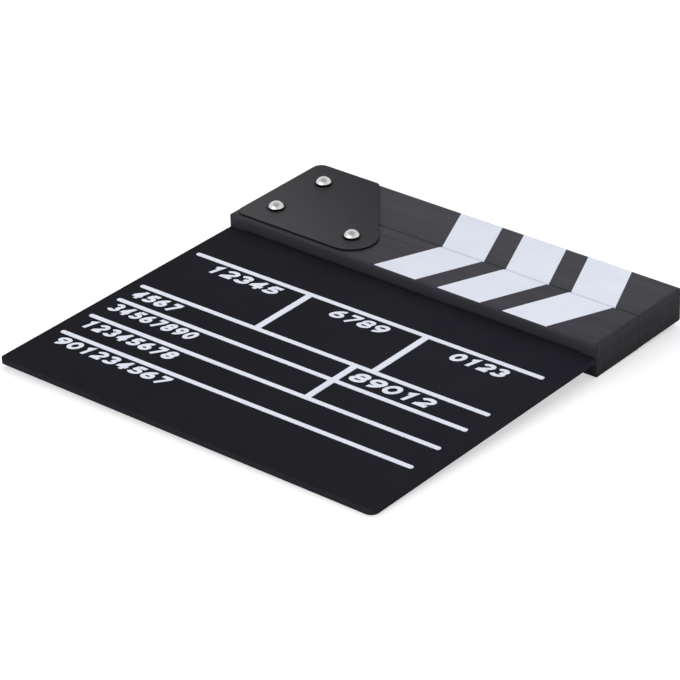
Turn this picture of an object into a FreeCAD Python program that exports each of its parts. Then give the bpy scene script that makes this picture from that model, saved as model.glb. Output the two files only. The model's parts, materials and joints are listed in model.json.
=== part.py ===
# Clapperboard, lying on its back with the slate's face up (+Z).
# X runs along the clapsticks from the hinge end, Y from the slate's foot to the clapper, in millimetres.
# A slate is glued into a groove in the lower clapstick. The clapper turns on a sleeve nut between two hinge
# plates, which two more sleeve nuts fix to the lower clapstick. The nuts have plain domed heads on the front
# plate, and a low screw closes each from the back.
import FreeCAD, Part
import os
import Sketcher

STRIPE_COUNT = 3
NEAR = 0.001

# Driving sizes: lengths in millimetres, angles in degrees, and pivot_share a part of the stick's width.
SIZES = {
    # slate
    "board_width": 200.0,
    "board_drop": 147.6,
    "board_thick": 3.0,
    "board_corner": 4.0,
    "board_ease": 0.4,
    # lower clapstick, and the stopped groove that holds the slate under its front lip
    "stick_width": 31.0,
    "stick_thick": 15.9,
    "stick_round": 0.9,
    "front_lip": 6.3,
    "tongue_depth": 8.0,
    "tongue_inset": 8.0,
    "groove_clearance": 0.1,
    # clapper, and its play from each hinge plate
    "strike_gap": 0.15,
    "face_play": 0.15,
    "swing": 60.0,
    "pivot_inset": 16.2,
    "pivot_share": 0.49,
    "heel_corner": 8.0,
    # hinge plates, and their distances from the sticks' left, front and back edges
    "plate_thick": 1.0,
    "plate_left": 1.5,
    "plate_front": 1.5,
    "plate_back": 0.8,
    "plate_corner": 4.5,
    "plate_tip": 2.5,
    "plate_slope": 51.5,
    "plate_ease": 0.25,
    # sleeve nuts, and the screws that close them from the back
    "anchor_inset": 14.5,
    "anchor_span": 44.6,
    "left_anchor_rise": 15.0,
    "right_anchor_rise": 13.5,
    "sleeve_diameter": 5.0,
    "sleeve_short": 0.5,
    "head_diameter": 7.1,
    "head_height": 3.2,
    "head_rim": 0.9,
    "screw_diameter": 4.0,
    "screw_length": 9.0,
    "screw_head": 8.0,
    "screw_head_height": 1.3,
    "screw_rim": 0.6,
    "recess_span": 4.0,
    "recess_width": 1.0,
    "recess_depth": 0.9,
    "recess_taper": 8.0,
    "bore_spare": 1.0,
    "thread_clearance": 0.05,
    "hole_clearance": 0.08,
    "pivot_clearance": 0.05,
    # thin washers that the clapper turns between, let into its two faces
    "thrust_diameter": 12.0,
    "thrust_thick": 0.5,
    "thrust_play": 0.1,
    "thrust_clearance": 0.2,
    # stripes and ruling, cut from thin white film
    "film_thick": 0.2,
    "film_margin": 0.1,
    "stripe_start": 83.0,
    "stripe_end": 13.1,
    "stripe_space": 11.8,
    "stripe_lean": 13.3,
    "rule_width": 2.4,
    "rule_rise": 2.3,
    "divider_width": 3.2,
    "rule_left": 5.5,
    "rule_right": 7.2,
    "ruling_head": 27.8,
    "ruling_foot": 33.0,
    # rows and columns share out the ruled field in these proportions
    "row_first": 36.8,
    "row_second": 14.9,
    "row_third": 17.5,
    "row_fourth": 17.6,
    "column_left": 64.7,
    "column_middle": 62.9,
    "column_right": 59.7,
    "half_left": 118.7,
    "half_right": 68.6,
}

doc = FreeCAD.newDocument("clapperboard")
sheet = doc.addObject("Spreadsheet::Sheet", "dims")
for row, (alias, size) in enumerate(SIZES.items(), 1):
    sheet.set(f"A{row}", alias)
    sheet.set(f"B{row}", str(size))
    sheet.setAlias(f"B{row}", alias)
doc.recompute()

# Places in plan, worked out from the driving sizes.
HINGE_END = "(-dims.board_width / 2)"
FOOT = "(-(dims.board_drop + 2 * dims.stick_width) / 2)"
STICK_FRONT = f"({FOOT} + dims.board_drop)"
STRIKE_LINE = f"({STICK_FRONT} + dims.stick_width)"
STICK_BACK = f"({STRIKE_LINE} + dims.stick_width)"
PIVOT_RISE = "(dims.stick_width * dims.pivot_share)"
PIVOT = (f"({HINGE_END} + dims.pivot_inset)", f"({STRIKE_LINE} + {PIVOT_RISE})")
LEFT_ANCHOR = (f"({HINGE_END} + dims.anchor_inset)", f"({STICK_FRONT} + dims.left_anchor_rise)")
RIGHT_ANCHOR = (
    f"({HINGE_END} + dims.anchor_inset + dims.anchor_span)",
    f"({STICK_FRONT} + dims.right_anchor_rise)",
)

# Heights, from the screws' heads, which the hinge end lies on.
PLATE_REAR = "dims.screw_head_height"
STICK_REAR = f"({PLATE_REAR} + dims.plate_thick)"
STICK_FACE = f"({STICK_REAR} + dims.stick_thick)"
PLATE_FACE = f"({STICK_FACE} + dims.plate_thick)"
SLATE_FACE = f"({STICK_FACE} - dims.front_lip)"
SLATE_REAR = f"({SLATE_FACE} - dims.board_thick)"
CLAPPER_REAR = f"({STICK_REAR} + dims.face_play)"
CLAPPER_THICK = "(dims.stick_thick - 2 * dims.face_play)"
CLAPPER_FACE = f"({CLAPPER_REAR} + {CLAPPER_THICK})"

# Radii of the sleeve and of the holes that it passes through.
SLEEVE = "(dims.sleeve_diameter / 2)"
FIXED_HOLE = f"({SLEEVE} + dims.hole_clearance)"
PIVOT_HOLE = f"({SLEEVE} + dims.pivot_clearance)"


def value(expression):
    """Current size of an expression in the sheet's names."""
    return float(sheet.evalExpression(expression))


def new_body(label, place):
    """Body with its own label, at a place given as three expressions."""
    body = doc.addObject("PartDesign::Body", label)
    body.Label = label
    for axis, expression in zip("xyz", place):
        body.setExpression(f"Placement.Base.{axis}", expression)
    return body


def new_sketch(body, name, plane="XY_Plane"):
    """Empty sketch on one of the body's own origin planes."""
    sketch = body.newObject("Sketcher::SketchObject", name)
    support = next(item for item in body.Origin.OriginFeatures if item.Role == plane)
    sketch.AttachmentSupport = [(support, "")]
    sketch.MapMode = "FlatFace"
    return sketch


def drive(sketch, kind, ends, expression):
    """Dimension in a sketch that follows an expression."""
    index = sketch.addConstraint(Sketcher.Constraint(kind, *ends, value(expression)))
    sketch.setExpression(f"Constraints[{index}]", expression)


def arc_between(start, end, axis, centre, turn):
    """Arc from start to end whose centre lies at a known x or y, anticlockwise for a turn of 1."""
    middle = (start + end) / 2
    chord = end - start
    if axis == "x":
        hub = FreeCAD.Vector(centre, middle.y - (centre - middle.x) * chord.x / chord.y, 0)
    else:
        hub = FreeCAD.Vector(middle.x - (centre - middle.y) * chord.y / chord.x, centre, 0)
    circle = Part.Circle(hub, FreeCAD.Vector(0, 0, 1), (start - hub).Length)
    first, last = (start, end) if turn > 0 else (end, start)
    return Part.ArcOfCircle(circle, circle.parameter(first), circle.parameter(last))


def add_loop(sketch, corners, arcs=None):
    """Closed outline through corners given as expressions.

    arcs maps a corner's index to the arc that leaves it: the axis and place of its centre, and its turn.
    """
    arcs = arcs or {}
    count = len(corners)
    first = sketch.GeometryCount
    points = [FreeCAD.Vector(value(x), value(y), 0) for x, y in corners]
    ends = []
    for index in range(count):
        start, end = points[index], points[(index + 1) % count]
        if index in arcs:
            axis, centre, turn = arcs[index]
            sketch.addGeometry(arc_between(start, end, axis, value(centre), turn), False)
            ends.append((1, 2) if turn > 0 else (2, 1))
        else:
            sketch.addGeometry(Part.LineSegment(start, end), False)
            ends.append((1, 2))
    for index in range(count):
        following = (index + 1) % count
        joined = (first + index, ends[index][1], first + following, ends[following][0])
        sketch.addConstraint(Sketcher.Constraint("Coincident", *joined))
    for index, corner in enumerate(corners):
        for kind, expression in zip(("DistanceX", "DistanceY"), corner):
            drive(sketch, kind, (-1, 1, first + index, ends[index][0]), expression)
    for index, (axis, centre, _turn) in arcs.items():
        drive(sketch, f"Distance{axis.upper()}", (-1, 1, first + index, 3), centre)


def add_circle(sketch, x, y, radius):
    """Circle whose centre and radius are expressions."""
    place = FreeCAD.Vector(value(x), value(y), 0)
    index = sketch.addGeometry(Part.Circle(place, FreeCAD.Vector(0, 0, 1), value(radius)), False)
    drive(sketch, "DistanceX", (-1, 1, index, 3), x)
    drive(sketch, "DistanceY", (-1, 1, index, 3), y)
    drive(sketch, "Radius", (index,), radius)


def rectangle(left, right, low, high):
    """Corners of an upright rectangle."""
    return [(left, low), (right, low), (right, high), (left, high)]


def pad(body, sketch, length):
    """Solid raised from a sketch."""
    feature = body.newObject("PartDesign::Pad", f"{sketch.Name}_pad")
    feature.Profile = sketch
    feature.setExpression("Length", length)
    doc.recompute()
    return feature


def cut_to_depth(body, sketch, depth, forward=False):
    """Pocket of a given depth, behind its sketch or in front of it."""
    feature = body.newObject("PartDesign::Pocket", f"{sketch.Name}_cut")
    feature.Profile = sketch
    feature.setExpression("Length", depth)
    feature.Reversed = forward
    doc.recompute()
    return feature


def cut_through(body, sketch):
    """Pocket right through the body, on both sides of its sketch."""
    feature = body.newObject("PartDesign::Pocket", f"{sketch.Name}_cut")
    feature.Profile = sketch
    feature.Type = "ThroughAll"
    feature.SideType = "Symmetric"
    doc.recompute()
    return feature


def round_edges(body, base, name, radius, wanted):
    """Fillet on the edges of a feature that a test picks out."""
    feature = body.newObject("PartDesign::Fillet", name)
    picked = [f"Edge{number}" for number, edge in enumerate(base.Shape.Edges, 1) if wanted(edge)]
    feature.Base = (base, picked)
    feature.setExpression("Radius", radius)
    doc.recompute()
    return feature


def lies_at(edge, axis, place):
    """Whether the whole of an edge is at one x, y or z."""
    box = edge.BoundBox
    low = getattr(box, f"{axis}Min")
    high = getattr(box, f"{axis}Max")
    return abs(low - place) < NEAR and abs(high - place) < NEAR


def stands_at(edge, x, y):
    """Whether an edge stands upright over a point of the plan."""
    return lies_at(edge, "X", x) and lies_at(edge, "Y", y)


def is_round(edge):
    """Whether an edge is a full circle."""
    return len(edge.Vertexes) == 1


def make_slate_board():
    """Hardboard sheet with rounded lower corners, and a tongue along its top that fits the stick's groove."""
    body = new_body("slate_board", ("0", FOOT, SLATE_REAR))
    right = "(dims.board_width / 2)"
    shoulder = "(dims.board_drop - dims.groove_clearance)"
    top = "(dims.board_drop + dims.tongue_depth)"
    tongue_left = f"({HINGE_END} + dims.tongue_inset)"
    tongue_right = f"({right} - dims.tongue_inset)"
    outline = [
        (HINGE_END, "0"),
        (right, "0"),
        (right, shoulder),
        (tongue_right, shoulder),
        (tongue_right, top),
        (tongue_left, top),
        (tongue_left, shoulder),
        (HINGE_END, shoulder),
    ]
    sketch = new_sketch(body, "slate_outline")
    add_loop(sketch, outline)
    sheet_pad = pad(body, sketch, "dims.board_thick")

    def lower_corner(edge):
        return lies_at(edge, "Y", 0) and not lies_at(edge, "Z", edge.BoundBox.ZMin)

    def outer_edge(edge):
        flat = lies_at(edge, "Z", 0) or lies_at(edge, "Z", value("dims.board_thick"))
        return flat and edge.BoundBox.YMin < value(shoulder) - NEAR

    cornered = round_edges(body, sheet_pad, "slate_corners", "dims.board_corner", lower_corner)
    round_edges(body, cornered, "slate_ease", "dims.board_ease", outer_edge)
    return body


def make_lower_clapstick():
    """Stick with a rounded face and a rounded front, square where the clapper strikes it, with a groove
    along its front that stops short of both ends, and two holes for the anchor sleeves."""
    body = new_body("lower_clapstick", ("0", STICK_FRONT, STICK_REAR))
    right = "(dims.board_width / 2)"
    sketch = new_sketch(body, "stick_outline")
    add_loop(sketch, rectangle(HINGE_END, right, "0", "dims.stick_width"))
    stick = pad(body, sketch, "dims.stick_thick")

    def face_or_front(edge):
        on_face = lies_at(edge, "Z", value("dims.stick_thick"))
        under_front = lies_at(edge, "Z", 0) and lies_at(edge, "Y", 0)
        return on_face or under_front

    round_edges(body, stick, "stick_round_fillet", "dims.stick_round", face_or_front)
    spare = "(dims.tongue_inset - dims.groove_clearance)"
    high = "(dims.stick_thick - dims.front_lip + dims.groove_clearance)"
    low = "(dims.stick_thick - dims.front_lip - dims.board_thick - dims.groove_clearance)"
    groove = new_sketch(body, "groove", "XZ_Plane")
    add_loop(groove, rectangle(f"({HINGE_END} + {spare})", f"({right} - {spare})", low, high))
    cut_to_depth(body, groove, "dims.tongue_depth + dims.groove_clearance")
    holes = new_sketch(body, "anchor_holes")
    for anchor, rise in ((LEFT_ANCHOR, "dims.left_anchor_rise"), (RIGHT_ANCHOR, "dims.right_anchor_rise")):
        add_circle(holes, anchor[0], rise, FIXED_HOLE)
    cut_through(body, holes)
    return body


def make_upper_clapstick():
    """Clapper stick, drawn about its pivot, with a shallow seat in each face for a thrust washer.

    Its heel is rounded about the pivot so that it rolls past the lower stick, and ends in a flat
    that comes down on the lower stick when the clapper is fully open.
    """
    body = new_body("upper_clapstick", (*PIVOT, CLAPPER_REAR))
    heel = f"({PIVOT_RISE} - dims.strike_gap)"
    left = "(-dims.pivot_inset)"
    right = "(dims.board_width - dims.pivot_inset)"
    back = f"(dims.stick_width - {PIVOT_RISE})"
    sketch = new_sketch(body, "clapper_outline")
    add_loop(sketch, rectangle(left, right, f"-{heel}", back))
    stick = pad(body, sketch, CLAPPER_THICK)

    opened = "(dims.swing * 1 deg)"
    reach = "(2 * (dims.pivot_inset + dims.stick_width))"
    seat = (f"-{heel} * sin({opened})", f"-{heel} * cos({opened})")
    flat_end = (f"{seat[0]} - {reach} * cos({opened})", f"{seat[1]} + {reach} * sin({opened})")
    below = f"-{heel} - dims.stick_width"
    waste = [("0", f"-{heel}"), seat, flat_end, (f"-{reach} - {heel}", below), ("0", below)]
    heel_sketch = new_sketch(body, "heel_waste")
    add_loop(heel_sketch, waste, {0: ("x", "0", -1)})
    heeled = cut_through(body, heel_sketch)

    def hinge_corner(edge):
        return stands_at(edge, value(left), value(back))

    cornered = round_edges(body, heeled, "heel_corner_fillet", "dims.heel_corner", hinge_corner)

    def face_or_back(edge):
        on_face = lies_at(edge, "Z", value(CLAPPER_THICK))
        under_back = lies_at(edge, "Z", 0) and lies_at(edge, "Y", value(back))
        return on_face or under_back

    round_edges(body, cornered, "clapper_round_fillet", "dims.stick_round", face_or_back)
    bore = new_sketch(body, "pivot_bore")
    add_circle(bore, "0", "0", PIVOT_HOLE)
    cut_through(body, bore)
    washer_depth = "dims.thrust_thick + dims.thrust_play - dims.face_play"
    for name, height, forward in (("face_seat", CLAPPER_THICK, False), ("rear_seat", "0", True)):
        washer_seat = new_sketch(body, name)
        washer_seat.setExpression("AttachmentOffset.Base.z", height)
        add_circle(washer_seat, "0", "0", "dims.thrust_diameter / 2 + dims.thrust_clearance")
        cut_to_depth(body, washer_seat, washer_depth, forward)
    return body


def make_hinge_plate(label, rear):
    """Stamped plate over both sticks at the hinge end: a square end, a round nose about the right
    anchor, and a sloping side that runs from the nose to the clapper's back edge."""
    body = new_body(label, ("0", "0", rear))
    nose = "(dims.right_anchor_rise - dims.plate_front)"
    lean = "((90 - dims.plate_slope) * 1 deg)"
    left = f"({HINGE_END} + dims.plate_left)"
    front = f"({STICK_FRONT} + dims.plate_front)"
    back = f"({STICK_BACK} - dims.plate_back)"
    nose_x, nose_y = RIGHT_ANCHOR
    point = f"({nose_x} + {nose} * (1 + sin({lean})) / cos({lean}))"
    tip = f"({nose_x} + ({nose} - ({back} - {nose_y}) * sin({lean})) / cos({lean}))"
    sketch = new_sketch(body, f"{label}_outline")
    add_loop(sketch, [(left, front), (point, front), (tip, back), (left, back)])
    for x, y in (PIVOT, LEFT_ANCHOR, RIGHT_ANCHOR):
        add_circle(sketch, x, y, FIXED_HOLE)
    plate = pad(body, sketch, "dims.plate_thick")

    def at_nose(edge):
        return stands_at(edge, value(point), value(front))

    def at_tip(edge):
        return stands_at(edge, value(tip), value(back))

    def at_hinge_end(edge):
        return lies_at(edge, "X", value(left)) and not lies_at(edge, "Z", edge.BoundBox.ZMin)

    def outer_edge(edge):
        flat = lies_at(edge, "Z", 0) or lies_at(edge, "Z", value("dims.plate_thick"))
        return flat and not is_round(edge)

    nosed = round_edges(body, plate, f"{label}_nose", nose, at_nose)
    tipped = round_edges(body, nosed, f"{label}_tip", "dims.plate_tip", at_tip)
    cornered = round_edges(body, tipped, f"{label}_corners", "dims.plate_corner", at_hinge_end)
    round_edges(body, cornered, f"{label}_ease", "dims.plate_ease", outer_edge)
    return body


def revolve(body, name, profile, arcs):
    """Solid of revolution about the body's upright axis."""
    sketch = new_sketch(body, f"{name}_profile", "XZ_Plane")
    add_loop(sketch, profile, arcs)
    feature = body.newObject("PartDesign::Revolution", f"{name}_turned")
    feature.Profile = sketch
    feature.ReferenceAxis = (sketch, ["V_Axis"])
    feature.Angle = 360
    doc.recompute()
    return feature


def make_screw(label, place):
    """Low screw with a cross recess, seated on the back hinge plate."""
    body = new_body(label, (*place, PLATE_REAR))
    shank = "(dims.screw_diameter / 2)"
    head = "(dims.screw_head / 2)"
    profile = [
        ("0", "-dims.screw_head_height"),
        (head, "-dims.screw_rim"),
        (head, "0"),
        (shank, "0"),
        (shank, "dims.screw_length"),
        ("0", "dims.screw_length"),
    ]
    dome = ("x", "0", 1)
    revolve(body, label, profile, {0: dome})

    arm = "(dims.recess_span / 2)"
    side = "(dims.recess_width / 2)"
    slot = new_sketch(body, f"{label}_slot")
    slot.setExpression("AttachmentOffset.Base.z", "-dims.screw_head_height")
    add_loop(slot, rectangle(f"-{arm}", arm, f"-{side}", side))
    cut = cut_to_depth(body, slot, "dims.recess_depth", forward=True)
    cut.setExpression("TaperAngle", "-dims.recess_taper")
    doc.recompute()
    cross = body.newObject("PartDesign::PolarPattern", f"{label}_cross")
    cross.Originals = [cut]
    cross.Axis = (slot, ["N_Axis"])
    cross.Angle = 90
    cross.Occurrences = 2
    body.Tip = cross
    doc.recompute()
    return body


def make_sleeve_nut(label, place):
    """Sleeve nut: a domed head on the front hinge plate, and a tapped sleeve that stops just short of
    the back plate's face."""
    body = new_body(label, (*place, PLATE_FACE))
    head = "(dims.head_diameter / 2)"
    bore = "(dims.screw_diameter / 2 + dims.thread_clearance)"
    clamped = "(2 * dims.plate_thick + dims.stick_thick)"
    foot = f"(dims.sleeve_short - {clamped})"
    bore_end = f"(dims.screw_length + dims.bore_spare - {clamped})"
    profile = [
        ("0", bore_end),
        (bore, bore_end),
        (bore, foot),
        (SLEEVE, foot),
        (SLEEVE, "0"),
        (head, "0"),
        (head, "dims.head_rim"),
        ("0", "dims.head_height"),
    ]
    dome = ("x", "0", 1)
    revolve(body, label, profile, {6: dome})
    return body


def make_thrust_washer(label, rear):
    """Thin washer about the pivot, between the clapper and a hinge plate."""
    body = new_body(label, (*PIVOT, rear))
    sketch = new_sketch(body, f"{label}_rings")
    add_circle(sketch, "0", "0", "dims.thrust_diameter / 2")
    add_circle(sketch, "0", "0", FIXED_HOLE)
    pad(body, sketch, "dims.thrust_thick")
    return body


def make_stripe(label, number, outer, strike, face):
    """Slanted film stripe across the flat of a stick's face, which leans towards the strike line."""
    body = new_body(label, (HINGE_END, "0", face))
    inset = "(dims.stick_round + dims.film_margin)"
    pitch = f"((dims.board_width - dims.stripe_start - dims.stripe_end) / {STRIPE_COUNT})"
    width = f"({pitch} - dims.stripe_space)"
    trim = f"(dims.stripe_lean * {inset} / dims.stick_width)"
    left = f"(dims.stripe_start + {number} * {pitch})"
    outer_left = f"({left} + {trim})"
    strike_left = f"({left} + dims.stripe_lean - {trim})"
    corners = [
        (outer_left, outer),
        (f"{outer_left} + {width}", outer),
        (f"{strike_left} + {width}", strike),
        (strike_left, strike),
    ]
    sketch = new_sketch(body, f"{label}_outline")
    add_loop(sketch, corners)
    pad(body, sketch, "dims.film_thick")
    return body


def make_stripes():
    """Three stripes on each stick, which meet at the strike line as chevrons."""
    inset = "(dims.stick_round + dims.film_margin)"
    clapper_strike = f"({STRIKE_LINE} + dims.strike_gap + {inset})"
    bodies = []
    for number in range(STRIPE_COUNT):
        name = number + 1
        upper = (f"({STICK_BACK} - {inset})", clapper_strike, CLAPPER_FACE)
        lower = (f"({STICK_FRONT} + {inset})", f"({STRIKE_LINE} - {inset})", STICK_FACE)
        bodies.append(make_stripe(f"upper_stripe_{name}", number, *upper))
        bodies.append(make_stripe(f"lower_stripe_{name}", number, *lower))
    return bodies


def make_form_ruling():
    """Film lines on the slate: five rules across it, which rise a little to the right, and dividers between
    them."""
    body = new_body("form_ruling", (HINGE_END, FOOT, SLATE_FACE))
    rows = ("row_first", "row_second", "row_third", "row_fourth")
    shares = " + ".join(f"dims.{row}" for row in rows)
    field = "(dims.board_drop - dims.ruling_head - dims.ruling_foot)"
    heights = ["(dims.board_drop - dims.ruling_head)"]
    for row in rows:
        heights.append(f"({heights[-1]} - {field} * dims.{row} / ({shares}))")
    left = "dims.rule_left"
    right = "(dims.board_width - dims.rule_right)"
    rise = "(dims.rule_rise / 2)"
    half_width = "(dims.rule_width / 2)"
    rules = new_sketch(body, "rules")
    for height in heights:
        start = f"({height} - {rise})"
        end = f"({height} + {rise})"
        rule = [
            (left, f"{start} - {half_width}"),
            (right, f"{end} - {half_width}"),
            (right, f"{end} + {half_width}"),
            (left, f"{start} + {half_width}"),
        ]
        add_loop(rules, rule)
    ruled = pad(body, rules, "dims.film_thick")

    def rule_end(edge):
        return not lies_at(edge, "Z", edge.BoundBox.ZMin)

    end_round = "dims.rule_width / 2 - dims.film_margin"
    round_edges(body, ruled, "rule_ends", end_round, rule_end)

    span = f"({right} - {left})"
    columns = "(dims.column_left + dims.column_middle + dims.column_right)"
    halves = "(dims.half_left + dims.half_right)"
    second_column = f"(dims.column_left / {columns})"
    third_column = f"((dims.column_left + dims.column_middle) / {columns})"
    half_way = f"(dims.half_left / {halves})"
    dividers = new_sketch(body, "dividers")
    for share, high, low in (
        (second_column, heights[0], heights[1]),
        (third_column, heights[0], heights[1]),
        (half_way, heights[1], heights[3]),
    ):
        edge = f"({left} + {span} * {share} - dims.divider_width / 2)"
        lift = f"(dims.rule_rise * ({share} - 0.5))"
        divider = rectangle(edge, f"({edge} + dims.divider_width)", f"({low} + {lift})", f"({high} + {lift})")
        add_loop(dividers, divider)
    pad(body, dividers, "dims.film_thick")
    return body


def make_parts():
    """Every piece of the clapperboard."""
    bodies = [
        make_slate_board(),
        make_lower_clapstick(),
        make_upper_clapstick(),
        make_hinge_plate("front_hinge_plate", STICK_FACE),
        make_hinge_plate("back_hinge_plate", PLATE_REAR),
    ]
    fixings = {"pivot": PIVOT, "left_anchor": LEFT_ANCHOR, "right_anchor": RIGHT_ANCHOR}
    for name, place in fixings.items():
        bodies.append(make_screw(f"{name}_screw", place))
        bodies.append(make_sleeve_nut(f"{name}_sleeve_nut", place))
    bodies.append(make_thrust_washer("front_thrust_washer", f"({STICK_FACE} - dims.thrust_thick)"))
    bodies.append(make_thrust_washer("back_thrust_washer", STICK_REAR))
    bodies.extend(make_stripes())
    bodies.append(make_form_ruling())
    return bodies


def check(bodies):
    """Stop before anything is written if a feature failed or a piece is empty or broken."""
    failed = [item.Label for item in doc.Objects if {"Invalid", "Error"} & set(item.State)]
    if failed:
        raise RuntimeError(f"failed features: {failed}")
    broken = [body.Label for body in bodies if body.Shape.isNull() or not body.Shape.isValid()]
    if broken:
        raise RuntimeError(f"broken pieces: {broken}")


parts = make_parts()
doc.recompute()
check(parts)
os.makedirs("parts", exist_ok=True)
for part in parts:
    part.Shape.exportStep(os.path.join("parts", f"{part.Label}.step"))
    print(f"{part.Label}: {len(part.Shape.Solids)} solid, {part.Shape.Volume:.1f} mm3")
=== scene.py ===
# Clapperboard: finishes, stripes, printed digits, slate, floor, light and camera. Lengths are in metres.
import functools
import json
import math

import bmesh
import bpy
from mathutils import Euler, Matrix, Vector


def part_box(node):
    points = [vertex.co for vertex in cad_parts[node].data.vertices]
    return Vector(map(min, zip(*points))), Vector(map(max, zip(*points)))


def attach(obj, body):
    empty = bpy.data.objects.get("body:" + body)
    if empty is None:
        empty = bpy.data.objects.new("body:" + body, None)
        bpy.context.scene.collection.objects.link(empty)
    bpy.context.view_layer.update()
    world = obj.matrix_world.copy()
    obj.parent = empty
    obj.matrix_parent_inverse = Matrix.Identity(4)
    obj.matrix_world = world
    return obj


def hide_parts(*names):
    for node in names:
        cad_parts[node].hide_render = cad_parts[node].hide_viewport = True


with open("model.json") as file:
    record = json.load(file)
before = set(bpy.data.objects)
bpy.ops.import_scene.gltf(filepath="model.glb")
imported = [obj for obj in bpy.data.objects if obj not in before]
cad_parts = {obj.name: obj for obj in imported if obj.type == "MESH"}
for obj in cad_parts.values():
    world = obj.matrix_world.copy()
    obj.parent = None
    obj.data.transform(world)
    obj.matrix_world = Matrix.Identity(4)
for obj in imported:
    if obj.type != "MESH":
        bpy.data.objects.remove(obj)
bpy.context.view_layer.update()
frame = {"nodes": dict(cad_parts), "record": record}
nodes = frame["nodes"]
MM = 0.001
ALONG = (1.0, 0.0, 0.0)
ACROSS = (0.0, 1.0, 0.0)
UP = (0.0, 0.0, 1.0)
WHITE = (1.0, 1.0, 1.0, 1.0)

# Places from the frame that several pieces share.
STICK_LOW, STICK_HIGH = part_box("lower_clapstick")
SLATE_LOW, SLATE_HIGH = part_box("slate_board")

# Photograph's camera, fitted to the board's edges. Azimuth turns from -Y towards +X.
CAMERA_PLACE = Vector((0.78134, -0.93146, 0.69190))
CAMERA_AZIMUTH = math.radians(40.0648)
CAMERA_ELEVATION = math.radians(29.4176)
CAMERA_ROLL = math.radians(-1.7123)
CAMERA_LENS = 174.722
SENSOR_WIDTH = 36.0

# Painted stripes: skins that wrap over the sticks' rounded edges, and only partly over the outer one.
# Each stick's stripes have a shift from the film at the outer edge and a slope of their own.
STRIPE_COUNT = 3
FILM_SLOPE = 0.43
STRIPE_PLACES = {"upper_clapstick": (-0.17 * MM, 0.4145), "lower_clapstick": (-1.11 * MM, 0.4413)}
STICK_ROUND = 0.9 * MM
PAINT_THICK = 0.05 * MM
PAINT_SINK = 0.03 * MM
PAINT_REACH = math.radians(31)
PAINT_DROP = 1.0 * MM
ROUND_STEPS = 8
SMOOTH_ANGLE = math.radians(40)

# Printed digits on the slate: each group's left end and foot, from the slate's lower left corner, its length,
# its height and half the width of its strokes, all in millimetres.
# The print's lines rise to the right, level with their place at the slate's middle.
# A digit's strokes lie one under another, so that no two faces coincide.
PRINT_RISE = 0.0123
DIGIT_SHEAR = 0.28
DIGIT_GAP = 0.9 * MM
STROKE_THICK = 0.08 * MM
STROKE_STEP = 0.015 * MM
ARC_STEPS = 16
SAME_POINT = 0.001
DIGIT_GROUPS = {
    "12345": (17.9, 109.7, 40.7, 7.2, 0.93),
    "6789": (86.5, 109.8, 30.8, 7.1, 0.82),
    "0123": (150.0, 109.8, 29.8, 7.1, 0.95),
    "4567": (7.0, 73.0, 26.8, 7.1, 0.93),
    "89012": (127.2, 72.3, 43.2, 7.7, 0.96),
    "34567890": (7.0, 58.6, 48.7, 7.1, 0.87),
    "12345678": (7.5, 40.9, 52.6, 7.1, 0.9),
    "901234567": (8.0, 23.6, 63.6, 6.8, 0.88),
}

# Slate: its lower corners, the left one nearly sharp, its eased rims and the tongue in the stick's groove.
SLATE_LEFT_CORNER = 2.0 * MM
SLATE_RIGHT_CORNER = 4.0 * MM
SLATE_FACE_EASE = 0.4 * MM
SLATE_BACK_EASE = 0.6 * MM
EASE_STEPS = 3
ROUND_PROFILE = 0.5
SHOULDER_GAP = 0.1 * MM
TONGUE_INSET = 8.0 * MM
LEVEL_TOLERANCE = 0.1 * MM

# Tones that change slowly, painted light and shade for how the light falls across each piece: the direction, and
# the two places along it between which they change.
# The slate's edge faces are made paler than its face by a factor.
SLATE_FADE_WAY = (0.7, 0.7, 0.0)
SLATE_FADE = (-100.0 * MM, 80.0 * MM)
SLATE_EDGE_SHADE = 1.85
STICK_FACE_FADE = (30.0 * MM, 110.0 * MM)
STICK_FOOT_FADE = (1.0 * MM, 9.0 * MM)
STICK_TOP_FADE = (11.0 * MM, 19.0 * MM)
PLATE_FADE_WAY = (0.5, 0.86, 0.0)
PLATE_FADE = (-20.0 * MM, 65.0 * MM)
WHITE_FADE = (-20.0 * MM, 90.0 * MM)

# Levels of the whites, at the left and the right end of their fade; the stripes' fade is painted light, lighter
# towards the right.
FILM_LEVELS = (1.15, 1.15)
PRINT_LEVELS = (1.15, 1.15)
STRIPE_LEVELS = (1.095, 1.155)

# Edges in the finishes: the share of the normal that is left on a flat and on an edge, the upward share
# of the normal on a face and on a side, and the sticks' softened edges, which stay crisp beside the joint.
FLAT_SHARE = 0.99
EDGE_SHARE = 0.8
FACE_SHARE = 0.9
SIDE_SHARE = 0.3
EDGE_SAMPLES = 6
EASE_SAMPLES = 8
STICK_EASE = 1.6 * MM
CRISP_FULL = 1.8 * MM
CRISP_REACH = 3.0 * MM

# Painted shade along the joint of the two sticks, painted shadow on the plate around each head, and painted
# shade on the heads' feet, whose heights are measured from the middle of the sticks.
FIXINGS = ("pivot", "left_anchor", "right_anchor")
JOINT_SHADE_OFFSET = 0.4 * MM
JOINT_SHADE_FULL = 0.2 * MM
JOINT_SHADE_REACH = 1.6 * MM
JOINT_SHADE_LEVEL = 0.85
PLATE_SHADOW_FULL = 3.6 * MM
PLATE_SHADOW_REACH = 5.2 * MM
HEAD_SHADE_FULL = 9.6 * MM
HEAD_SHADE_REACH = 10.1 * MM

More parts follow.
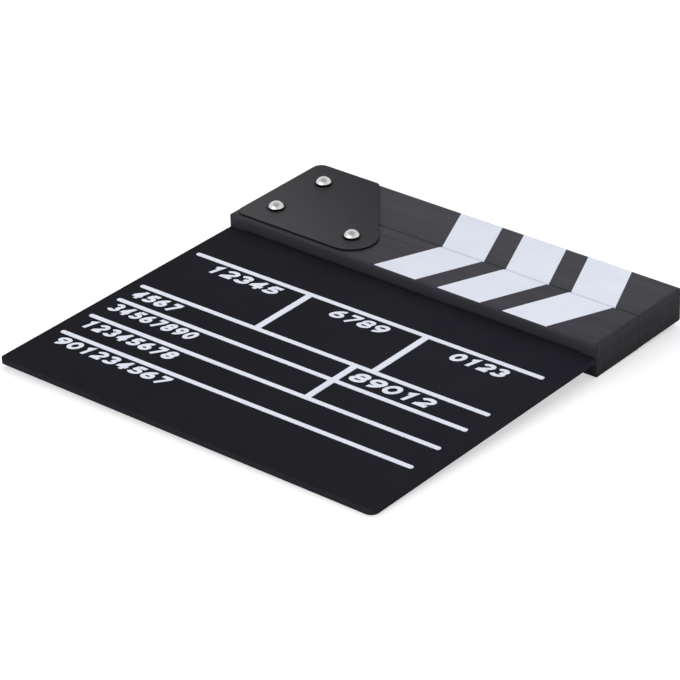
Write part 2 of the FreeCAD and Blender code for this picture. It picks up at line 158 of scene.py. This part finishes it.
# Floor, lamps and the world's light. What is seen of the world dims overhead, between two heights from 0
# at the horizon to 1 straight up.
FLOOR_SIZE = 8.0
FLOOR_COLOUR = (0.6, 0.6, 0.6, 1.0)
FLOOR_LIFT = 0.56
WORLD_LIGHT = 0.42
CEILING_LIGHT = 0.5
CEILING_START = 0.6
CEILING_END = 0.95
LAMPS = {
    "key_lamp": {"place": (-0.5, 0.7, 1.5), "size": 2.2, "power": 16.5, "mirrored": False},
    "fill_lamp": {"place": (-0.2, -1.5, 0.7), "size": 1.8, "power": 14.0, "mirrored": True},
}


class Graph:
    """Short calls for building a node tree."""

    def __init__(self, tree):
        self.tree = tree

    def add(self, kind, settings=None, **inputs):
        """New node, with its settings and its inputs, each a plain value or another node's socket."""
        node = self.tree.nodes.new(kind)
        for name, setting in (settings or {}).items():
            setattr(node, name, setting)
        for name, value in inputs.items():
            self.feed(node.inputs[name.replace("_", " ")], value)
        return node

    def feed(self, socket, value):
        """Links a socket, or sets a plain value."""
        if isinstance(value, bpy.types.NodeSocket):
            self.tree.links.new(value, socket)
        else:
            socket.default_value = value

    def place(self, cells):
        """Place on the piece, counted in cells per metre along each axis."""
        where = self.add("ShaderNodeTexCoord")
        return self.add("ShaderNodeMapping", Vector=where.outputs["Object"], Scale=cells).outputs["Vector"]

    def noise(self, cells, detail=3.0, roughness=0.55):
        """Cloudy pattern from 0 to 1, with a number of cells per metre along each axis."""
        where = self.place(cells)
        node = self.add("ShaderNodeTexNoise", Vector=where, Scale=1.0, Detail=detail, Roughness=roughness)
        return node.outputs["Fac"]

    def spread(self, value, low, high, to_low=0.0, to_high=1.0):
        """Value stretched from one range to another, and held inside it."""
        node = self.add("ShaderNodeMapRange", {"interpolation_type": "SMOOTHSTEP"}, Value=value)
        limits = {"From Min": low, "From Max": high, "To Min": to_low, "To Max": to_high}
        for name, limit in limits.items():
            node.inputs[name].default_value = limit
        return node.outputs["Result"]

    def fade(self, mask, start, end):
        """Value that runs from one to another as a mask goes from 0 to 1."""
        return self.spread(mask, 0.0, 1.0, to_low=start, to_high=end)

    def part_along(self, vector, direction):
        """How far a vector reaches along a direction."""
        dot = self.add("ShaderNodeVectorMath", {"operation": "DOT_PRODUCT"})
        self.feed(dot.inputs[0], vector)
        self.feed(dot.inputs[1], direction)
        return dot.outputs["Value"]

    def along(self, direction, start, end, to_start=0.0, to_end=1.0):
        """Value that runs from one to another between two distances from the origin along a direction."""
        place = self.add("ShaderNodeTexCoord").outputs["Object"]
        return self.spread(self.part_along(place, direction), start, end, to_start, to_end)

    def sides(self, start=FACE_SHARE):
        """Mask of the surfaces that stand upright, from 0 at an upward share of the normal to 1 on sides."""
        normal = self.add("ShaderNodeTexCoord").outputs["Normal"]
        return self.spread(self.part_along(normal, UP), start, SIDE_SHARE)

    def near(self, direction, place, full, reach):
        """1 up to a distance from a place along a direction, and 0 beyond a reach from it."""
        where = self.part_along(self.add("ShaderNodeTexCoord").outputs["Object"], direction)
        away = self.math("ABSOLUTE", self.math("SUBTRACT", where, place))
        return self.spread(away, full, reach, to_low=1.0, to_high=0.0)

    def around(self, points, full, reach):
        """1 up to a distance from the nearest of some points, and 0 beyond a reach from it."""
        where = self.add("ShaderNodeTexCoord").outputs["Object"]
        masks = []
        for point in points:
            distance = self.add("ShaderNodeVectorMath", {"operation": "DISTANCE"})
            self.feed(distance.inputs[0], where)
            self.feed(distance.inputs[1], point)
            masks.append(self.spread(distance.outputs["Value"], full, reach, to_low=1.0, to_high=0.0))
        return functools.reduce(lambda first, second: self.math("MAXIMUM", first, second), masks)

    def math(self, operation, first, second=0.0):
        """Value worked out from one or two others, such as their sum, product or greatest."""
        node = self.add("ShaderNodeMath", {"operation": operation})
        self.feed(node.inputs[0], first)
        self.feed(node.inputs[1], second)
        return node.outputs["Value"]

    def scale(self, colour, factor):
        """Colour made lighter or darker by a factor."""
        node = self.add("ShaderNodeVectorMath", {"operation": "SCALE"})
        self.feed(node.inputs[0], colour)
        self.feed(node.inputs["Scale"], factor)
        return node.outputs["Vector"]

    def blend(self, factor, first, second):
        """Colour between two others."""
        node = self.add("ShaderNodeMix", {"data_type": "RGBA"})
        self.feed(node.inputs["Factor"], factor)
        self.feed(node.inputs["A"], first)
        self.feed(node.inputs["B"], second)
        return node.outputs["Result"]

    def edges(self, radius):
        """Mask of the piece's edges, 1 where the surface turns within a radius."""
        rounded = self.add("ShaderNodeBevel", {"samples": EDGE_SAMPLES}, Radius=radius)
        true = self.add("ShaderNodeNewGeometry")
        shared = self.part_along(rounded.outputs["Normal"], true.outputs["True Normal"])
        return self.spread(shared, FLAT_SHARE, EDGE_SHARE)

    def eased(self, radius, kept):
        """Normal that turns smoothly over edges within a radius, apart from where a mask keeps them."""
        rounded = self.add("ShaderNodeBevel", {"samples": EASE_SAMPLES}, Radius=radius)
        true = self.add("ShaderNodeNewGeometry")
        node = self.add("ShaderNodeMix", {"data_type": "VECTOR"})
        self.feed(node.inputs["Factor"], kept)
        self.feed(node.inputs["A"], rounded.outputs["Normal"])
        self.feed(node.inputs["B"], true.outputs["Normal"])
        return node.outputs["Result"]

    def bump(self, height, depth, strength, normal=None):
        """Normal of a surface raised by a height of 0 to 1 times a depth."""
        node = self.add("ShaderNodeBump", Height=height, Distance=depth, Strength=strength)
        if normal:
            self.feed(node.inputs["Normal"], normal)
        return node.outputs["Normal"]


def grey(level, blue=0.0):
    """Nearly neutral colour, a little bluer by a share of its level."""
    return (level, level, level * (1.0 + blue), 1.0)


def even(count):
    """The same count along each axis."""
    return (count, count, count)


def new_material(name, constants):
    """Material, its node graph and its shader, whose constant sockets are set directly."""
    material = bpy.data.materials.new(name)
    material.use_nodes = True
    graph = Graph(material.node_tree)
    shader = material.node_tree.nodes["Principled BSDF"]
    for socket, value in constants.items():
        shader.inputs[socket].default_value = value
    return material, graph, shader


def finish_surface(graph, shader, colour, roughness, normal):
    """Links a colour, a roughness and a bump to the shader."""
    graph.feed(shader.inputs["Base Color"], colour)
    graph.feed(shader.inputs["Roughness"], roughness)
    graph.feed(shader.inputs["Normal"], normal)


def rubbed(graph, colour, bare, share, radius, cells, patchy):
    """Colour rubbed towards a bare one by a share along the edges, in patches between two noise levels."""
    patches = graph.spread(graph.noise(cells), *patchy)
    worn = graph.math("MULTIPLY", graph.edges(radius), patches)
    return graph.blend(graph.math("MULTIPLY", worn, share), colour, bare)


def joint_shade(graph):
    """Factor that darkens a colour on the faces along the joint of the two sticks: painted shade in the crease
    between them.
    """
    painted_shade = graph.near(ACROSS, STICK_HIGH.y - JOINT_SHADE_OFFSET, JOINT_SHADE_FULL, JOINT_SHADE_REACH)
    unshaded = graph.math("MAXIMUM", graph.sides(), graph.fade(painted_shade, 1.0, 0.0))
    return graph.fade(unshaded, JOINT_SHADE_LEVEL, 1.0)


def slate_paint():
    """Flat black paint on hardboard: mottled, finely toothed, with paler edge faces, scuffs and specks."""
    thick_paint = grey(0.0128, blue=0.36)
    thin_paint = grey(0.016, blue=0.3)
    scuff = grey(0.05)
    dust = grey(0.22)
    material, graph, shader = new_material("slate_paint", {"Specular IOR Level": 0.012})
    mottle = graph.noise(even(45), detail=4)
    colour = graph.blend(graph.spread(mottle, 0.3, 0.7), thick_paint, thin_paint)
    # Painted light and shade: the slate lighter towards the back right.
    colour = graph.scale(colour, graph.along(SLATE_FADE_WAY, *SLATE_FADE, to_start=0.94, to_end=1.15))
    colour = graph.scale(colour, graph.fade(graph.sides(), 1.0, SLATE_EDGE_SHADE))
    colour = rubbed(graph, colour, scuff, share=0.4, radius=0.5 * MM, cells=even(160), patchy=(0.35, 0.65))
    dots = graph.add("ShaderNodeTexVoronoi", Vector=graph.place(even(38)), Scale=1.0)
    speck = graph.spread(dots.outputs["Distance"], 0.016, 0.010, to_high=0.8)
    colour = graph.blend(speck, colour, dust)
    roughness = graph.spread(mottle, 0.2, 0.8, to_low=0.55, to_high=0.7)
    tooth = graph.noise(even(2600), detail=2)
    finish_surface(graph, shader, colour, roughness, graph.bump(tooth, depth=0.02 * MM, strength=0.5))
    return material


def stick_paint():
    """Satin black paint on wood: long faint grain, edges rubbed paler, and painted shade: faces darker to the
    front, sides darker downwards.
    """
    face_front_painted_shade = grey(0.0455, blue=0.2)
    face_back_painted_light = grey(0.0565, blue=0.18)
    side_foot_painted_shade = grey(0.0195, blue=0.2)
    side_middle_painted_shade = grey(0.0345, blue=0.2)
    side_top_painted_light = grey(0.057, blue=0.2)
    rub = grey(0.09)
    material, graph, shader = new_material("stick_paint", {"Specular IOR Level": 0.05})
    grain = graph.noise((14, 420, 420), detail=5, roughness=0.6)
    patch = graph.noise((22, 60, 60), detail=2)
    # Painted shade: the sticks' faces darker towards the front.
    face = graph.blend(graph.along(ACROSS, *STICK_FACE_FADE), face_front_painted_shade, face_back_painted_light)
    # Painted shade on the sides: darker towards the bottom and lighter near the top edge.
    side = graph.blend(graph.along(UP, *STICK_FOOT_FADE), side_foot_painted_shade, side_middle_painted_shade)
    side = graph.blend(graph.along(UP, *STICK_TOP_FADE), side, side_top_painted_light)
    colour = graph.blend(graph.sides(start=0.95), face, side)
    colour = graph.scale(colour, graph.spread(patch, 0.25, 0.75, to_low=1.05, to_high=0.95))
    colour = graph.scale(colour, graph.spread(grain, 0.3, 0.75, to_low=1.04, to_high=0.94))
    colour = rubbed(graph, colour, rub, share=0.15, radius=0.4 * MM, cells=(90, 240, 240), patchy=(0.4, 0.7))
    # Painted shade along the joint of the two sticks.
    colour = graph.scale(colour, joint_shade(graph))
    roughness = graph.spread(grain, 0.2, 0.8, to_low=0.42, to_high=0.58)
    eased = graph.eased(STICK_EASE, graph.near(ACROSS, STICK_HIGH.y, CRISP_FULL, CRISP_REACH))
    normal = graph.bump(grain, depth=0.04 * MM, strength=0.3, normal=eased)
    finish_surface(graph, shader, colour, roughness, normal)
    return material


def head_feet():
    """Points on the hinge plate's face under the middle of each fixing's head."""
    plate_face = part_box("front_hinge_plate")[1].z
    feet = []
    for fixing in FIXINGS:
        low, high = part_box(f"{fixing}_sleeve_nut")
        feet.append(((low.x + high.x) / 2, (low.y + high.y) / 2, plate_face))
    return feet


def plate_paint():
    """Powder coat on sheet steel: a fine even texture, thin at the edges, and painted shade: darker towards the
    back, nearly black on its sides and around each head.
    """
    plate_front_painted_light = grey(0.062, blue=0.06)
    plate_back_painted_shade = grey(0.021, blue=0.25)
    patch_tone = grey(0.05, blue=0.05)
    plate_side_painted_shade = grey(0.012)
    rub = grey(0.09)
    painted_shade = grey(0.008)
    material, graph, shader = new_material("plate_paint", {"Specular IOR Level": 0.04})
    patch = graph.noise(even(30), detail=3)
    # Painted shade: the plate darker towards the back.
    colour = graph.blend(graph.along(PLATE_FADE_WAY, *PLATE_FADE), plate_front_painted_light, plate_back_painted_shade)
    colour = graph.blend(graph.spread(patch, 0.3, 0.7, to_high=0.15), colour, patch_tone)
    colour = rubbed(graph, colour, rub, share=0.15, radius=0.25 * MM, cells=even(200), patchy=(0.4, 0.7))
    # Painted shade: the plate's upright sides nearly black, for the shade in the gap under its edge.
    colour = graph.blend(graph.sides(), colour, plate_side_painted_shade)
    # Painted shadow: the plate nearly black in a ring round the foot of each head.
    colour = graph.blend(graph.around(head_feet(), PLATE_SHADOW_FULL, PLATE_SHADOW_REACH), colour, painted_shade)
    grit = graph.noise(even(1500), detail=2)
    roughness = graph.spread(patch, 0.2, 0.8, to_low=0.4, to_high=0.5)
    finish_surface(graph, shader, colour, roughness, graph.bump(grit, depth=0.03 * MM, strength=0.4))
    return material


def bright_fixing():
    """Nickel plate: bright, with a slight haze and fine scratches, and painted shade and reflection that darken
    the heads' feet.
    """
    dull = (0.62, 0.62, 0.63, 1.0)
    bright = (0.70, 0.70, 0.71, 1.0)
    painted_shade = grey(0.02)
    material, graph, shader = new_material("bright_fixing", {"Metallic": 1.0})
    haze = graph.noise(even(420), detail=3)
    colour = graph.blend(haze, dull, bright)
    middle = (STICK_LOW.z + STICK_HIGH.z) / 2
    # Painted shade and reflection: the heads darkened near their feet, where they meet the plate.
    colour = graph.blend(graph.near(UP, middle, HEAD_SHADE_FULL, HEAD_SHADE_REACH), colour, painted_shade)
    roughness = graph.spread(haze, 0.25, 0.75, to_low=0.24, to_high=0.34)
    scratches = graph.noise((300, 5200, 900), detail=2)
    finish_surface(graph, shader, colour, roughness, graph.bump(scratches, depth=0.01 * MM, strength=0.4))
    return material


def thrust_washer():
    """Black nylon: slightly waxy, with a fine moulded grain."""
    dark = grey(0.05)
    pale = grey(0.07)
    material, graph, shader = new_material("thrust_washer", {"Specular IOR Level": 0.4})
    cloud = graph.noise(even(350), detail=2)
    colour = graph.blend(cloud, dark, pale)
    roughness = graph.spread(cloud, 0.2, 0.8, to_low=0.45, to_high=0.6)
    finish_surface(graph, shader, colour, roughness, graph.bump(cloud, depth=0.02 * MM, strength=0.4))
    return material


def white_paint(name, levels):
    """White film or print: a cool white with faint unevenness, from one level at the left to another."""
    thin_white = (0.70, 0.735, 0.83, 1.0)
    full_white = (0.74, 0.77, 0.86, 1.0)
    material, graph, shader = new_material(name, {"Specular IOR Level": 0.1})
    cloud = graph.noise(even(70), detail=4)
    colour = graph.blend(graph.spread(cloud, 0.3, 0.7), thin_white, full_white)
    # Painted light: the stripes' white lighter towards the right; the film and the print keep one level.
    colour = graph.scale(colour, graph.along(ALONG, *WHITE_FADE, *levels))
    # Painted shade along the joint of the two sticks, where the stripes cross it.
    colour = graph.scale(colour, joint_shade(graph))
    fine = graph.noise(even(1800), detail=2)
    roughness = graph.spread(cloud, 0.2, 0.8, to_low=0.42, to_high=0.55)
    finish_surface(graph, shader, colour, roughness, graph.bump(fine, depth=0.01 * MM, strength=0.4))
    return material


def new_piece(name, mesh, material, body):
    """Piece made from a mesh, with its material, that moves with a body."""
    piece = bpy.data.objects.new(name, mesh)
    bpy.context.scene.collection.objects.link(piece)
    piece.data.materials.append(material)
    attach(piece, body)
    return piece


def add_strip(build, face, back, loop):
    """Closed strip between two rows of corner pairs, one above the other, that may run round in a loop."""
    for row in range(len(face) if loop else len(face) - 1):
        following = (row + 1) % len(face)
        build.faces.new((face[row][0], face[row][1], face[following][1], face[following][0]))
        build.faces.new((back[row][1], back[row][0], back[following][0], back[following][1]))
        for side in (0, 1):
            build.faces.new((face[row][side], face[following][side], back[following][side], back[row][side]))
    if not loop:
        for row in (0, -1):
            build.faces.new((face[row][0], face[row][1], back[row][1], back[row][0]))


def finish_mesh(build, name, smooth):
    """Mesh from its build, with its faces turned outwards, shaded smooth over slight turns or flat."""
    bmesh.ops.recalc_face_normals(build, faces=build.faces)
    mesh = bpy.data.meshes.new(name)
    build.to_mesh(mesh)
    build.free()
    if smooth:
        mesh.shade_smooth()
        mesh.set_sharp_from_angle(angle=SMOOTH_ANGLE)
    return mesh


def edge_profile(width, top, offset):
    """Section of a stick's face and its two rounded edges, as distances from the outer edge and heights."""
    reach = STICK_ROUND + offset
    upright = math.pi / 2
    outer_turn = (STICK_ROUND, upright + PAINT_REACH, upright)
    inner_turn = (width - STICK_ROUND, upright, 0.0)
    points = []
    for hub, first, last in (outer_turn, inner_turn):
        for step in range(ROUND_STEPS + 1):
            angle = first + (last - first) * step / ROUND_STEPS
            points.append((hub + reach * math.cos(angle), top - STICK_ROUND + reach * math.sin(angle)))
    points.append((width + offset, top - STICK_ROUND - PAINT_DROP))
    return points


def stripe_skin(name, stick, inward, body, material):
    """Thin painted stripe that stands for a film node and wraps over the stick's rounded edges.

    inward is 1 where the strike line lies towards +Y from the stick's outer edge, and -1 otherwise.
    """
    film_low, film_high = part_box(name)
    stick_low, stick_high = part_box(stick)
    outer, film_outer = (stick_low.y, film_low.y) if inward > 0 else (stick_high.y, film_high.y)
    inset = abs(film_outer - outer)
    across = film_high.y - film_low.y
    length = film_high.x - film_low.x - FILM_SLOPE * across
    width = stick_high.y - stick_low.y
    shift, slope = STRIPE_PLACES[stick]
    build = bmesh.new()

    def corners(offset):
        rows = []
        for away, height in edge_profile(width, stick_high.z, offset):
            left = film_low.x + shift + slope * (away - inset)
            spots = [(left, outer + inward * away, height), (left + length, outer + inward * away, height)]
            rows.append([build.verts.new(spot) for spot in spots])
        return rows

    add_strip(build, corners(PAINT_THICK), corners(-PAINT_SINK), loop=False)
    mesh = finish_mesh(build, f"painted_{name}", smooth=True)
    piece = new_piece(f"painted_{name}", mesh, material, body)
    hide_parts(name)


def arc(centre, reach, start, end):
    """Points of an elliptical arc between two angles in degrees."""
    points = []
    for step in range(ARC_STEPS + 1):
        angle = math.radians(start + (end - start) * step / ARC_STEPS)
        points.append((centre[0] + reach[0] * math.cos(angle), centre[1] + reach[1] * math.sin(angle)))
    return points


def digit_strokes(overrun):
    """Centre lines of each digit's strokes, in a box from 0 to 1 each way. A loop ends where it starts.

    overrun is how far a plain end goes past the box, to be level with the strokes that lie along it.
    """
    foot, head = -overrun, 1 + overrun
    five_bowl = arc((0.45, 0.3), (0.53, 0.3), 140, -155)
    six = [arc((0.5, 0.28), (0.5, 0.29), 0, 360), arc((0.8, 0.3), (0.8, 0.7), 180, 90)]
    return {
        "0": [arc((0.5, 0.5), (0.5, 0.5), 0, 360)],
        "1": [[(0.14, 0.80), (0.58, 1.0), (0.58, foot)]],
        "2": [[(-0.05, 0.0), (1.08, 0.0)], arc((0.5, 0.7), (0.5, 0.3), 165, -30) + [(0.1, 0.02)]],
        "3": [arc((0.45, 0.745), (0.47, 0.255), 160, -85), arc((0.47, 0.245), (0.53, 0.265), 88, -160)],
        "4": [[(0.72, head), (0.72, foot)], [(-0.1, 0.27), (1.12, 0.27)], [(0.72, 1.02), (0.03, 0.3)]],
        "5": [[(0.12, 1.0), (1.04, 1.0)], [(0.18, 1.02), (0.1, 0.48)], five_bowl],
        "6": six,
        "7": [[(-0.05, 1.0), (1.08, 1.0)], [(0.98, 0.98), (0.3, foot)]],
        "8": [arc((0.5, 0.74), (0.44, 0.26), 0, 360), arc((0.5, 0.26), (0.5, 0.27), 0, 360)],
        "9": [[(1 - across, 1 - up) for across, up in stroke] for stroke in six],
    }


def stroke_sides(line, loop, half):
    """Points half a stroke to either side of each point of a line, square to it or mitred at its corners."""
    pairs = []
    for place, here in enumerate(line):
        steps = []
        if loop or place > 0:
            steps.append(here - line[place - 1])
        if loop or place < len(line) - 1:
            steps.append(line[(place + 1) % len(line)] - here)
        normals = [Vector((-step.y, step.x)).normalized() for step in steps]
        mitre = sum(normals, Vector((0.0, 0.0))) / len(normals)
        offset = mitre * (half / mitre.length_squared)
        pairs.append((here + offset, here - offset))
    return pairs


def digit_group(digits, sizes, material):
    """Printed group of slanted digits, fitted to its place on the slate and to the print's rise."""
    left, foot, length, tall, half = [size * MM for size in sizes]
    width = (length - DIGIT_SHEAR * tall + DIGIT_GAP) / len(digits) - DIGIT_GAP
    box = Vector((width - 2 * half, tall - 2 * half))
    strokes = digit_strokes(half / box.y)
    build = bmesh.new()

    def corners(pairs, height):
        rows = []
        for pair in pairs:
            row = []
            for spot in pair:
                x = SLATE_LOW.x + spot.x + DIGIT_SHEAR * (spot.y - foot)
                row.append(build.verts.new((x, SLATE_LOW.y + spot.y + PRINT_RISE * x, height)))
            rows.append(row)
        return rows

    for place, digit in enumerate(digits):
        corner = Vector((left + place * (width + DIGIT_GAP) + half, foot + half))
        for layer, stroke in enumerate(strokes[digit]):
            loop = math.dist(stroke[0], stroke[-1]) < SAME_POINT
            line = [corner + Vector(spot) * box for spot in (stroke[:-1] if loop else stroke)]
            pairs = stroke_sides(line, loop, half)
            top = SLATE_HIGH.z + STROKE_THICK - layer * STROKE_STEP
            add_strip(build, corners(pairs, top), corners(pairs, SLATE_HIGH.z - PAINT_SINK), loop)
    mesh = finish_mesh(build, f"printed_digits_{digits}", smooth=False)
    new_piece(f"printed_digits_{digits}", mesh, material, "slate")


def slate_outline(shoulder):
    """Outline of the slate from its lower left corner round to its tongue, which starts at the shoulder."""
    low, high = SLATE_LOW, SLATE_HIGH
    left_hub = (low.x + SLATE_LEFT_CORNER, low.y + SLATE_LEFT_CORNER)
    right_hub = (high.x - SLATE_RIGHT_CORNER, low.y + SLATE_RIGHT_CORNER)
    outline = arc(left_hub, (SLATE_LEFT_CORNER, SLATE_LEFT_CORNER), 180, 270)
    outline += arc(right_hub, (SLATE_RIGHT_CORNER, SLATE_RIGHT_CORNER), 270, 360)
    outline += [(high.x, shoulder), (high.x - TONGUE_INSET, shoulder), (high.x - TONGUE_INSET, high.y)]
    outline += [(low.x + TONGUE_INSET, high.y), (low.x + TONGUE_INSET, shoulder), (low.x, shoulder)]
    return outline


def add_slate(material):
    """Slate that stands for its node, with one lower corner nearly sharp and a tongue along its top."""
    shoulder = STICK_LOW.y - SHOULDER_GAP
    outline = slate_outline(shoulder)
    build = bmesh.new()
    face = [build.verts.new((x, y, SLATE_HIGH.z)) for x, y in outline]
    back = [build.verts.new((x, y, SLATE_LOW.z)) for x, y in outline]
    build.faces.new(face)
    build.faces.new(reversed(back))
    for place in range(len(outline)):
        build.faces.new((face[place - 1], back[place - 1], back[place], face[place]))
    for height, ease in ((SLATE_HIGH.z, SLATE_FACE_EASE), (SLATE_LOW.z, SLATE_BACK_EASE)):
        rim = []
        for edge in build.edges:
            first, second = [corner.co for corner in edge.verts]
            level = max(abs(first.z - height), abs(second.z - height)) < LEVEL_TOLERANCE
            if level and min(first.y, second.y) < shoulder - LEVEL_TOLERANCE:
                rim.append(edge)
        bmesh.ops.bevel(
            build, geom=rim, offset=ease, segments=EASE_STEPS, profile=ROUND_PROFILE, affect="EDGES")
    mesh = finish_mesh(build, "painted_slate_board", smooth=True)
    piece = new_piece("painted_slate_board", mesh, material, "slate")
    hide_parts("slate_board")


def dress_nodes():
    """Gives each CAD node its material, and returns the materials by slot."""
    finishes = {
        "slate_paint": slate_paint(),
        "stick_paint": stick_paint(),
        "plate_paint": plate_paint(),
        "bright_fixing": bright_fixing(),
        "thrust_washer": thrust_washer(),
        "white_film": white_paint("white_film", FILM_LEVELS),
    }
    for subpart in frame["record"]["subparts"]:
        mesh = nodes[subpart["node"]].data
        mesh.materials.clear()
        mesh.materials.append(finishes[subpart["material_slot"]])
    return finishes


def add_markings():
    """Painted stripes on both sticks and printed digits on the slate."""
    stripe_white = white_paint("stripe_white", STRIPE_LEVELS)
    print_white = white_paint("print_white", PRINT_LEVELS)
    for number in range(1, STRIPE_COUNT + 1):
        stripe_skin(f"upper_stripe_{number}", "upper_clapstick", inward=-1, body="clapper", material=stripe_white)
        stripe_skin(f"lower_stripe_{number}", "lower_clapstick", inward=1, body="slate", material=stripe_white)
    for digits, sizes in DIGIT_GROUPS.items():
        digit_group(digits, sizes, print_white)


def seen_directly(graph):
    """1 for what the camera sees straight, in a reflection or through glass, and 0 for other light."""
    path = graph.add("ShaderNodeLightPath").outputs
    mirrored = graph.math("MAXIMUM", path["Is Glossy Ray"], path["Is Transmission Ray"])
    return graph.math("MAXIMUM", path["Is Camera Ray"], mirrored)


def floor_paint():
    """Plain pale floor, lifted to white where it is seen, that still takes the object's shadow."""
    constants = {
        "Base Color": FLOOR_COLOUR,
        "Roughness": 1.0,
        "Specular IOR Level": 0.0,
        "Emission Color": WHITE,
    }
    material, graph, shader = new_material("floor", constants)
    graph.feed(shader.inputs["Emission Strength"], graph.math("MULTIPLY", seen_directly(graph), FLOOR_LIFT))
    return material


def add_floor():
    """Floor under the three points that the clapperboard lies on."""
    screw_low, screw_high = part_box("left_anchor_screw")
    screw = Vector(((screw_low.x + screw_high.x) / 2, (screw_low.y + screw_high.y) / 2, screw_low.z))
    stick_end = Vector((STICK_HIGH.x, STICK_LOW.y + STICK_ROUND, STICK_LOW.z))
    foot_corner = Vector((SLATE_HIGH.x, SLATE_LOW.y, SLATE_LOW.z))
    normal = (foot_corner - screw).cross(stick_end - screw).normalized()
    build = bmesh.new()
    bmesh.ops.create_grid(build, x_segments=1, y_segments=1, size=FLOOR_SIZE / 2)
    mesh = bpy.data.meshes.new("floor")
    build.to_mesh(mesh)
    build.free()
    mesh.materials.append(floor_paint())
    floor = bpy.data.objects.new("floor", mesh)
    floor.matrix_world = Matrix.Translation(screw) @ normal.to_track_quat("Z", "Y").to_matrix().to_4x4()
    bpy.context.scene.collection.objects.link(floor)


def add_world():
    """Even soft light, and a white backdrop that is dimmer overhead."""
    world = bpy.data.worlds.new("studio")
    bpy.context.scene.world = world
    world.use_nodes = True
    graph = Graph(world.node_tree)
    background = world.node_tree.nodes["Background"]
    background.inputs["Color"].default_value = WHITE
    height = graph.part_along(graph.add("ShaderNodeTexCoord").outputs["Generated"], UP)
    backdrop = graph.spread(height, CEILING_START, CEILING_END, to_low=1.0, to_high=CEILING_LIGHT)
    excess = graph.math("MULTIPLY", seen_directly(graph), graph.math("SUBTRACT", backdrop, WORLD_LIGHT))
    graph.feed(background.inputs["Strength"], graph.math("ADD", excess, WORLD_LIGHT))


def add_lamp(name, place, size, power, mirrored):
    """Large soft lamp that faces the origin, and shows in shiny surfaces or not."""
    lamp = bpy.data.lights.new(name, "AREA")
    lamp.shape = "SQUARE"
    lamp.size = size
    lamp.energy = power
    holder = bpy.data.objects.new(name, lamp)
    holder.location = place
    holder.rotation_euler = (-Vector(place)).to_track_quat("-Z", "Y").to_euler()
    holder.visible_glossy = mirrored
    bpy.context.scene.collection.objects.link(holder)


def add_camera():
    """Camera at the photograph's viewing angle."""
    camera = bpy.data.cameras.new("camera")
    camera.lens = CAMERA_LENS
    camera.sensor_width = SENSOR_WIDTH
    level = Euler((math.pi / 2 - CAMERA_ELEVATION, 0.0, CAMERA_AZIMUTH)).to_matrix()
    turned = level @ Matrix.Rotation(CAMERA_ROLL, 3, "Z")
    holder = bpy.data.objects.new("camera", camera)
    holder.matrix_world = Matrix.Translation(CAMERA_PLACE) @ turned.to_4x4()
    bpy.context.scene.collection.objects.link(holder)
    bpy.context.scene.camera = holder


finishes = dress_nodes()
add_markings()
add_floor()
add_slate(finishes["slate_paint"])
add_world()
for lamp_name, lamp_settings in LAMPS.items():
    add_lamp(lamp_name, **lamp_settings)
add_camera()
bpy.context.scene.view_settings.view_transform = "Standard"
